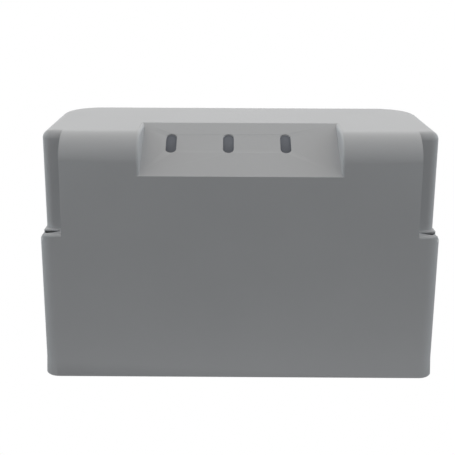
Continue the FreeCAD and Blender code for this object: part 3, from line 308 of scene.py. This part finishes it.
aluminium = milled("milled_aluminium", (0.46, 0.47, 0.48), (0.68, 0.69, 0.70), (0.28, 0.42),
                   (25.0, 900.0, 900.0), rub=(0.85, 0.85, 0.86))
dress(aluminium, "end_plate_front", "end_plate_rear", "bms_spreader", "bms_heatsink")

# ---------------------------------------------------------------- copper bars and risers
# Bars, links and risers are punched and bent from flat half-hard copper. Bare copper dulls to a
# salmon brown with darker patches round the bolts.

copper = milled("bare_copper", (0.36, 0.15, 0.085), (0.72, 0.34, 0.21), (0.22, 0.40),
                (40.0, 700.0, 700.0), rub=(0.88, 0.52, 0.38))
dress(copper, "busbars", "column_links", "risers", "bar_fuse_breaker", "bar_breaker_positive",
      "bar_shunt_contactor", "bar_contactor_negative")

# ---------------------------------------------------------------- brass studs and pillars, shunt
# Turned brass, a little tarnished; the shunt is a strip of resistance alloy between brass ends.

brass = finish_of("turned_brass", (0.42, 0.30, 0.10), (0.72, 0.56, 0.26), (0.20, 0.36),
                  metal=1.0, relief=0.00001, drift=90.0, rub=(0.90, 0.76, 0.42),
                  rub_width=0.0003)
dress(brass, "pillars", "earth_stud", "terminal_studs", "shunt")

# ---------------------------------------------------------------- clear covers
# The cover over the cell bars and the fuse cover are moulded in clear polycarbonate, 1.5 to
# 2 mm thick, with the faint ripple of a polished tool.


def clear_plastic():
    """Clear moulded plastic with a slight ripple."""
    material = bpy.data.materials.new("clear_polycarbonate")
    material.use_nodes = True
    tree = material.node_tree
    shader = tree.nodes["Principled BSDF"]
    grain = use(tree, grain_group, Per_Metre=45.0, Relief=0.00012, Drift_Per_Metre=20.0)
    tint = mix(tree, stretch(tree, grain.outputs["Tone"], 0.0, 1.0),
               (0.90, 0.93, 0.95), (0.95, 0.97, 0.98))
    tree.links.new(tint, shader.inputs["Base Color"])
    tree.links.new(stretch(tree, grain.outputs["Speckle"], 0.03, 0.09),
                   shader.inputs["Roughness"])
    tree.links.new(grain.outputs["Normal"], shader.inputs["Normal"])
    shader.inputs["IOR"].default_value = 1.58
    shader.inputs["Transmission Weight"].default_value = 1.0
    return material


dress(clear_plastic(), "cell_cover", "fuse_cover")

# ---------------------------------------------------------------- boards and their parts
# Two glass-epoxy boards with green solder mask over copper tracks, 1.6 mm thick, on brass
# pillars. The large parts are moulded black packages; the small ones are soldered in rows.


def board_finish(name, across):
    """Green mask with raised tracks; across names the two axes of the board's face."""
    material = finish_of(name, (0.006, 0.060, 0.028), (0.010, 0.085, 0.040), (0.22, 0.34),
                         relief=0.00001, drift=25.0)
    tree = material.node_tree
    shader = tree.nodes["Principled BSDF"]
    place = put(tree, "ShaderNodeTexCoord").outputs["Object"]
    axes = put(tree, "ShaderNodeSeparateXYZ", {"Vector": place}).outputs
    flat = put(tree, "ShaderNodeCombineXYZ", {"X": axes[across[0]], "Y": axes[across[1]]})
    tracks = put(tree, "ShaderNodeTexBrick", {
        "Vector": flat.outputs["Vector"], "Scale": 160.0, "Mortar Size": 0.05,
        "Mortar Smooth": 0.2, "Brick Width": 1.7, "Row Height": 0.32,
        "Color1": (0, 0, 0, 1), "Color2": (0, 0, 0, 1), "Mortar": (1, 1, 1, 1)},
        offset=0.37, offset_frequency=3, squash=0.6, squash_frequency=4)
    fields = put(tree, "ShaderNodeTexNoise", {
        "Vector": flat.outputs["Vector"], "Scale": 42.0, "Detail": 1.0}).outputs["Fac"]
    routed = put(tree, "ShaderNodeMath", {0: fields, 1: 0.47}, operation="GREATER_THAN")
    line = put(tree, "ShaderNodeMath", {0: tracks.outputs["Color"], 1: routed.outputs[0]},
               operation="MULTIPLY")
    before = shader.inputs["Base Color"].links[0].from_socket
    tree.links.new(mix(tree, line.outputs[0], before, (0.025, 0.17, 0.075)),
                   shader.inputs["Base Color"])
    raised = put(tree, "ShaderNodeBump", {
        "Height": line.outputs[0], "Distance": 0.00006, "Strength": 0.6,
        "Normal": shader.inputs["Normal"].links[0].from_socket})
    tree.links.new(raised.outputs["Normal"], shader.inputs["Normal"])
    return material


moulded_black = finish_of("black_moulding", (0.010, 0.010, 0.011), (0.022, 0.022, 0.024),
                          (0.36, 0.50), relief=0.00004, per_metre=800.0,
                          rub=(0.09, 0.09, 0.09), dust=0.3)
package = finish_of("package_epoxy", (0.012, 0.012, 0.013), (0.020, 0.020, 0.022),
                    (0.30, 0.45), relief=0.00002, per_metre=1500.0, dust=0.15)
dress(board_finish("board_mask_upright", ("X", "Z")), "bms_board")
dress(board_finish("board_mask_level", ("X", "Y")), "comm_board")
dress(package, "bms_parts")
dress(moulded_black, "fuse_base", "shunt_base", "contactor", "comm_sockets", "button_case",
      "terminal_cap_negative", "breaker_lever")


def grown(tree, name, values):
    """The plain mesh object that a geometry tree makes from its named inputs."""
    seed = bpy.data.objects.new(name + "_seed", bpy.data.meshes.new(name + "_seed"))
    bpy.context.scene.collection.objects.link(seed)
    maker = seed.modifiers.new(name, "NODES")
    maker.node_group = tree
    for item in tree.interface.items_tree:
        if item.in_out == "INPUT":
            maker[item.identifier] = values[item.name]
    ready = seed.evaluated_get(bpy.context.evaluated_depsgraph_get())
    mesh = bpy.data.meshes.new_from_object(ready)
    seed.modifiers.remove(maker)
    bpy.data.objects.remove(seed)
    piece = bpy.data.objects.new(name, mesh)
    bpy.context.scene.collection.objects.link(piece)
    return piece


def hand_over(tree, instances, asked, output):
    """Ends a geometry tree: real mesh, the asked material, and the group's output."""
    plain = put(tree, "GeometryNodeRealizeInstances", {"Geometry": instances})
    named = put(tree, "GeometryNodeSetMaterial", {
        "Geometry": plain.outputs["Geometry"], "Material": asked["Material"]})
    tree.links.new(named.outputs["Geometry"], put(tree, "NodeGroupOutput").inputs[output])


def scaled(tree, socket, factor):
    """A number socket times a plain factor."""
    return put(tree, "ShaderNodeMath", {0: socket, 1: factor},
               operation="MULTIPLY").outputs[0]


part_thick, part_wide = 0.0010, 0.0014
part_grades = (0.85, 1.35)        # smallest and largest part, as a share of the plain size


def small_part_tree():
    """Small parts in rows on an upright board: a grid with gaps, each part turned or not."""
    tree = bpy.data.node_groups.new("small_parts", "GeometryNodeTree")
    face = tree.interface
    for name, kind in (("Width", "Float"), ("Height", "Float"), ("Across", "Int"),
                       ("Up", "Int"), ("Missing", "Float"), ("Length", "Float"),
                       ("End", "Float"), ("Ends Only", "Bool"), ("Place", "Vector"),
                       ("Seed", "Int"), ("Material", "Material")):
        face.new_socket(name, in_out="INPUT", socket_type="NodeSocket" + kind)
    face.new_socket("Parts", in_out="OUTPUT", socket_type="NodeSocketGeometry")
    asked = put(tree, "NodeGroupInput").outputs
    grid = put(tree, "GeometryNodeMeshGrid", {
        "Size X": asked["Width"], "Size Y": asked["Height"], "Vertices X": asked["Across"],
        "Vertices Y": asked["Up"]}).outputs["Mesh"]
    upright = put(tree, "GeometryNodeTransform", {
        "Geometry": grid, "Rotation": (math.radians(90), 0.0, 0.0),
        "Translation": asked["Place"]}).outputs["Geometry"]
    gone = put(tree, "FunctionNodeRandomValue", {
        "Probability": asked["Missing"], "Seed": asked["Seed"]}, data_type="BOOLEAN")
    rows = put(tree, "GeometryNodeDeleteGeometry", {
        "Geometry": upright, "Selection": gone.outputs[3]}, domain="POINT").outputs[0]

    def block(length, shift):
        """A block whose back lies on the board, moved along its length."""
        size = put(tree, "ShaderNodeCombineXYZ", {
            "X": length, "Y": part_thick, "Z": part_wide})
        cube = put(tree, "GeometryNodeMeshCube", {"Size": size.outputs["Vector"]})
        spot = put(tree, "ShaderNodeCombineXYZ", {"X": shift, "Y": -part_thick / 2})
        return put(tree, "GeometryNodeTransform", {
            "Geometry": cube.outputs["Mesh"],
            "Translation": spot.outputs["Vector"]}).outputs["Geometry"]

    reach = put(tree, "ShaderNodeMath", {0: asked["Length"], 1: asked["End"]},
                operation="ADD").outputs[0]
    caps = put(tree, "GeometryNodeJoinGeometry", {"Geometry": [
        block(asked["End"], scaled(tree, reach, 0.5)),
        block(asked["End"], scaled(tree, reach, -0.5))]}).outputs["Geometry"]
    part = put(tree, "GeometryNodeSwitch", {
        "Switch": asked["Ends Only"], "False": block(asked["Length"], 0.0), "True": caps},
        input_type="GEOMETRY").outputs["Output"]
    way = put(tree, "FunctionNodeRandomValue", {4: 0, 5: 1, "Seed": asked["Seed"]},
              data_type="INT").outputs[2]
    quarter = scaled(tree, way, math.radians(90))
    grade = put(tree, "FunctionNodeRandomValue", {
        2: part_grades[0], 3: part_grades[1], "Seed": asked["Seed"]},
        data_type="FLOAT").outputs[1]
    placed = put(tree, "GeometryNodeInstanceOnPoints", {
        "Points": rows, "Instance": part, "Scale": grade,
        "Rotation": put(tree, "ShaderNodeCombineXYZ", {"Y": quarter}).outputs["Vector"]
        }).outputs["Instances"]
    hand_over(tree, placed, asked, "Parts")
    return tree


soldered = small_part_tree()
tin = finish_of("tinned_end", (0.62, 0.62, 0.60), (0.72, 0.72, 0.70), (0.28, 0.40),
                metal=1.0, relief=0.00001)
board_low, board_high = (Vector(corner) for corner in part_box("bms_board"))
board_centre = (board_low + board_high) / 2
# Each field of small parts: middle from the board's middle, size, and counts across and up.
part_fields = {"signal_parts": ((-0.0300, -0.0325), (0.140, 0.010), (36, 3)),
               "sense_parts": ((0.0930, 0.0050), (0.034, 0.080), (9, 20))}
for label, (middle, extent, counts) in part_fields.items():
    for ends, material, slot in ((False, package, "chip_black"), (True, tin, "steel_zinc")):
        row = grown(soldered, label + ("_ends" if ends else "_bodies"), {
            "Width": extent[0], "Height": extent[1], "Across": counts[0], "Up": counts[1],
            "Missing": 0.42, "Length": 0.0018, "End": 0.0004, "Ends Only": ends,
            "Place": (board_centre.x + middle[0], board_low.y, board_centre.z + middle[1]),
            "Seed": 7, "Material": material})
        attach(row, "chassis")

# ---------------------------------------------------------------- red mouldings, fuse and lamps
# The positive cap, the push button and the address switch are glossy red mouldings. The fuse is
# a glazed ceramic tube, and the lamps are small milky light pipes.

red = finish_of("red_moulding", (0.40, 0.014, 0.010), (0.52, 0.022, 0.016), (0.26, 0.38),
                relief=0.00003, per_metre=500.0, rub=(0.62, 0.10, 0.08), dust=0.2)
ceramic = finish_of("glazed_ceramic", (0.70, 0.67, 0.60), (0.80, 0.78, 0.72), (0.14, 0.24),
                    relief=0.00008, per_metre=90.0)
light_pipe = finish_of("milky_light_pipe", (0.42, 0.62, 0.42), (0.55, 0.75, 0.52),
                       (0.18, 0.30), relief=0.00001)
dress(red, "terminal_cap_positive", "power_button", "address_switch")
dress(ceramic, "fuse")
dress(light_pipe, "lamps")

# ---------------------------------------------------------------- hood
# The hood is one injection-moulded shell in a mid grey, flame-retardant plastic, 4 mm thick. The
# tool is finely spark-eroded, so it is matt all over; its sharp edges are broken by about
# half a millimetre. It drops over the chassis and four screws with captive nuts hold its foot.


def hood_grey():
    """Matt grey plastic with the fine even grain of a spark-eroded tool."""
    material = bpy.data.materials.new("hood_grey_moulding")
    material.use_nodes = True
    tree = material.node_tree
    shader = tree.nodes["Principled BSDF"]
    grain = use(tree, grain_group, Per_Metre=1300.0, Relief=0.00004, Strength=0.35,
                Drift_Per_Metre=5.0)
    tone = mix(tree, stretch(tree, grain.outputs["Tone"], 0.0, 1.0),
               (0.455, 0.463, 0.478), (0.475, 0.483, 0.498))
    fleck = mix(tree, stretch(tree, grain.outputs["Speckle"], 0.0, 0.06), tone,
                (0.30, 0.305, 0.315))
    tree.links.new(fleck, shader.inputs["Base Color"])
    tree.links.new(stretch(tree, grain.outputs["Tone"], 0.50, 0.58),
                   shader.inputs["Roughness"])
    tree.links.new(grain.outputs["Normal"], shader.inputs["Normal"])
    shader.inputs["Specular IOR Level"].default_value = 0.5
    return material


def ease(form, width, steps, crease, chosen=lambda middle: True):
    """Rounds the outer edges sharper than crease whose middle point is chosen."""
    sharp = [edge for edge in form.edges
             if edge.is_manifold and edge.calc_face_angle_signed(0.0) > crease
             and chosen((edge.verts[0].co + edge.verts[1].co) / 2)]
    bmesh.ops.bevel(form, geom=sharp, offset=width, offset_type="OFFSET", segments=steps,
                    profile=0.5, affect="EDGES", clamp_overlap=True, harden_normals=False)


def closed_copy(node):
    """A merged copy of a CAD node, with its flat faces whole again."""
    form = bmesh.new()
    form.from_mesh(nodes[node].data)
    bmesh.ops.remove_doubles(form, verts=form.verts, dist=0.00001)
    bmesh.ops.dissolve_limit(form, angle_limit=math.radians(0.3), verts=form.verts,
                             edges=form.edges)
    return form


def finished(form, name):
    """Turns a form into a smooth-shaded object."""
    bmesh.ops.triangulate(form, faces=form.faces)
    bmesh.ops.dissolve_degenerate(form, dist=0.00001, edges=form.edges)
    bmesh.ops.triangulate(form, faces=form.faces)
    mesh = bpy.data.meshes.new(name)
    form.to_mesh(mesh)
    form.free()
    for face in mesh.polygons:
        face.use_smooth = True
    piece = bpy.data.objects.new(name, mesh)
    bpy.context.scene.collection.objects.link(piece)
    return piece


hood_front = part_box("hood")[0][1]
ledge_level = 0.230
notch_wall = 0.2575          # inner wall of each corner notch, from the middle
notch_reach = 0.050          # how far back from the hood's front the notch's edge is looked for
notch_round, edge_break = 0.0024, 0.0006
outer_crease, crisp_crease = math.radians(35), math.radians(32)


def down_a_notch(middle):
    """True on the outer edge that runs up a notch's inner wall and over the top."""
    return (abs(abs(middle.x) - notch_wall) < 0.005 and middle.z > ledge_level + 0.001
            and middle.y < hood_front + notch_reach)


hood_form = closed_copy("hood")
ease(hood_form, notch_round, 4, outer_crease, down_a_notch)
ease(hood_form, edge_break, 2, outer_crease)
for edge in hood_form.edges:
    edge.smooth = not edge.is_manifold or edge.calc_face_angle(0.0) < crisp_crease
hood_shell = finished(hood_form, "hood_shell")
hood_shell.data.materials.append(hood_grey())
weights = hood_shell.modifiers.new("even_shading", "WEIGHTED_NORMAL")
weights.keep_sharp = True
weights.weight = 100
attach(hood_shell, "hood")
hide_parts("hood")
dress(zinc_plate, "hood_screws", "hood_nuts")

# ---------------------------------------------------------------- dust seals, their tone painted light
# Each of the hood's three cable chutes is stopped with a plug of dark grey foam rubber, cut to
# the chute's outline and pushed up from below. Its face slopes down towards the front, and the
# installer slits it to draw a cable. The plug is a guessed part, and its grey-blue tone is painted
# light: it is set to give the slots the brightness of light seen through them.

# Painted light: this grey-blue is set to give the slots the brightness of light seen through them.
seal_foam_painted_light = finish_of("foam_rubber_painted_light", (0.215, 0.23, 0.265), (0.265, 0.28, 0.315),
                      (0.85, 0.95), relief=0.0002, per_metre=900.0)
slot_spacing, slot_middle = 0.085, Vector((-0.0175, -0.0604))
# Foot and Level are heights above the floor; Slope is the face's rise towards the wall.
seal_sizes = {"Count": 3, "Spacing": slot_spacing, "Half Width": 0.0089, "Reach": 0.0204,
              "Foot": 0.3215, "Level": 0.3430, "Slope": 0.98}


def seal_tree():
    """A row of foam plugs: an outline with round ends, raised to a sloping face."""
    tree = bpy.data.node_groups.new("dust_seal_row", "GeometryNodeTree")
    face = tree.interface
    for name, value in seal_sizes.items():
        kind = "NodeSocketInt" if name == "Count" else "NodeSocketFloat"
        face.new_socket(name, in_out="INPUT", socket_type=kind)
    face.new_socket("Place", in_out="INPUT", socket_type="NodeSocketVector")
    face.new_socket("Material", in_out="INPUT", socket_type="NodeSocketMaterial")
    face.new_socket("Seals", in_out="OUTPUT", socket_type="NodeSocketGeometry")
    asked = put(tree, "NodeGroupInput").outputs
    outline = put(tree, "GeometryNodeCurvePrimitiveQuadrilateral", {
        "Width": scaled(tree, asked["Half Width"], 2.0),
        "Height": scaled(tree, asked["Reach"], 2.0)}).outputs["Curve"]
    near_half = scaled(tree, asked["Half Width"], 0.999)
    rounded = put(tree, "GeometryNodeFilletCurve", {
        "Curve": outline, "Count": 9, "Radius": near_half, "Limit Radius": True},
        mode="POLY").outputs["Curve"]
    sheet = put(tree, "GeometryNodeFillCurve", {"Curve": rounded},
                mode="NGONS").outputs["Mesh"]
    raised = put(tree, "GeometryNodeExtrudeMesh", {
        "Mesh": sheet, "Offset": (0.0, 0.0, 1.0), "Offset Scale": 1.0, "Individual": False},
        mode="FACES").outputs
    spot = put(tree, "GeometryNodeInputPosition").outputs["Position"]
    axes = put(tree, "ShaderNodeSeparateXYZ", {"Vector": spot}).outputs
    upper = put(tree, "ShaderNodeMath", {0: axes["Z"], 1: 0.5},
                operation="GREATER_THAN").outputs[0]
    sloped = put(tree, "ShaderNodeMath", {0: axes["Y"], 1: asked["Slope"], 2: asked["Level"]},
                 operation="MULTIPLY_ADD").outputs[0]
    height = put(tree, "GeometryNodeSwitch", {
        "Switch": upper, "False": asked["Foot"], "True": sloped},
        input_type="FLOAT").outputs["Output"]
    whole = put(tree, "GeometryNodeJoinGeometry", {
        "Geometry": [raised["Mesh"], put(tree, "GeometryNodeFlipFaces", {
            "Mesh": sheet}).outputs["Mesh"]]}).outputs["Geometry"]
    merged = put(tree, "GeometryNodeMergeByDistance", {
        "Geometry": whole, "Distance": 0.000005}).outputs["Geometry"]
    plug = put(tree, "GeometryNodeSetPosition", {
        "Geometry": merged,
        "Position": put(tree, "ShaderNodeCombineXYZ", {
            "X": axes["X"], "Y": axes["Y"], "Z": height}).outputs["Vector"]}
        ).outputs["Geometry"]
    row = put(tree, "GeometryNodeMeshLine", {
        "Count": asked["Count"], "Start Location": asked["Place"],
        "Offset": put(tree, "ShaderNodeCombineXYZ", {"X": asked["Spacing"]}).outputs["Vector"]},
        mode="OFFSET").outputs["Mesh"]
    placed = put(tree, "GeometryNodeInstanceOnPoints", {
        "Points": row, "Instance": plug}).outputs["Instances"]
    hand_over(tree, placed, asked, "Seals")
    return tree


first_slot = (slot_middle.x - slot_spacing, slot_middle.y, 0.0)
# The plugs' grey-blue colour is painted light in the slots.
seals_with_painted_light = grown(seal_tree(), "seals_with_painted_light",
                   {**seal_sizes, "Place": first_slot, "Material": seal_foam_painted_light})
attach(seals_with_painted_light, "hood")

# ---------------------------------------------------------------- floor, light and camera
# A plain white floor and a white surround. The light in it is soft, strongest from behind and
# from the sides and weakest from the viewer's side, as in a light tent with an open front.

floor_light_front, floor_light_rear, floor_light = -0.5, 0.6, 0.65


def white_floor():
    """A floor that reads as white and throws little light forward."""
    material = bpy.data.materials.new("white_floor")
    material.use_nodes = True
    tree = material.node_tree
    tree.nodes.clear()
    seen = put(tree, "ShaderNodeLightPath").outputs["Is Camera Ray"]
    white = put(tree, "ShaderNodeEmission", {"Color": (1, 1, 1, 1), "Strength": 1.0})
    place = put(tree, "ShaderNodeTexCoord").outputs["Object"]
    behind = put(tree, "ShaderNodeSeparateXYZ", {"Vector": place}).outputs["Y"]
    strength = put(tree, "ShaderNodeMapRange", {
        "Value": behind, "From Min": floor_light_front, "From Max": floor_light_rear,
        "To Min": 0.0, "To Max": floor_light})
    dim = put(tree, "ShaderNodeEmission", {
        "Color": (1, 1, 1, 1), "Strength": strength.outputs["Result"]})
    both = put(tree, "ShaderNodeMixShader", {0: seen, 1: dim.outputs[0], 2: white.outputs[0]})
    out = put(tree, "ShaderNodeOutputMaterial")
    tree.links.new(both.outputs[0], out.inputs["Surface"])
    return material


floor_reach = 6.0
floor_mesh = bpy.data.meshes.new("floor")
floor_mesh.from_pydata([(-floor_reach, -floor_reach, 0), (floor_reach, -floor_reach, 0),
                        (floor_reach, floor_reach, 0), (-floor_reach, floor_reach, 0)],
                       [], [(0, 1, 2, 3)])
floor_mesh.materials.append(white_floor())
floor = bpy.data.objects.new("floor", floor_mesh)
bpy.context.scene.collection.objects.link(floor)

scene = bpy.context.scene
scene.view_settings.view_transform = "Standard"
world = bpy.data.worlds.new("light_tent")
world.use_nodes = True
scene.world = world
sky = world.node_tree
sky.nodes.clear()
even_light, rear_light, side_light = 0.53, 1.09, 1.30
low_tint, high_tint, side_tint = (0.935, 0.965, 0.995), (1.0, 0.955, 0.905), (0.86, 0.96, 1.0)
ways = put(sky, "ShaderNodeTexCoord").outputs["Generated"]
heading = put(sky, "ShaderNodeSeparateXYZ", {"Vector": ways}).outputs
behind = put(sky, "ShaderNodeMath", {0: heading["Y"], 1: 0.0},
             operation="MAXIMUM").outputs[0]
tent = put(sky, "ShaderNodeMath", {0: behind, 1: rear_light, 2: even_light},
           operation="MULTIPLY_ADD").outputs[0]
width = put(sky, "ShaderNodeMath", {0: heading["X"]}, operation="ABSOLUTE").outputs[0]
sides = put(sky, "ShaderNodeMath", {0: width, 1: 4.0}, operation="POWER").outputs[0]
light = put(sky, "ShaderNodeMath", {0: sides, 1: side_light, 2: tent},
            operation="MULTIPLY_ADD").outputs[0]
tint = mix(sky, stretch(sky, heading["Z"], 0.0, 1.0, start=-0.1, end=0.9),
           low_tint, high_tint)
tint = mix(sky, sides, tint, side_tint)
lamp = put(sky, "ShaderNodeBackground", {"Color": tint, "Strength": light})
paper = put(sky, "ShaderNodeBackground", {"Color": (1, 1, 1, 1), "Strength": 1.0})
both = put(sky, "ShaderNodeMixShader", {
    0: put(sky, "ShaderNodeLightPath").outputs["Is Camera Ray"],
    1: lamp.outputs[0], 2: paper.outputs[0]})
sky.links.new(both.outputs[0], put(sky, "ShaderNodeOutputWorld").inputs["Surface"])

lens = bpy.data.cameras.new("camera")
lens.sensor_width = 36.0
lens.lens = 61.59
lens.clip_start = 0.05
camera = bpy.data.objects.new("camera", lens)
scene.collection.objects.link(camera)
stand = (-0.01362, -1.1958, 0.60373)
turn, roll, look_down = math.radians(0.24), math.radians(0.24), math.radians(18.58)
camera.matrix_world = (Matrix.Translation(stand)
                       @ Matrix.Rotation(turn, 4, "Z")
                       @ Matrix.Rotation(math.radians(90.0) - look_down, 4, "X")
                       @ Matrix.Rotation(roll, 4, "Z"))
scene.camera = camera
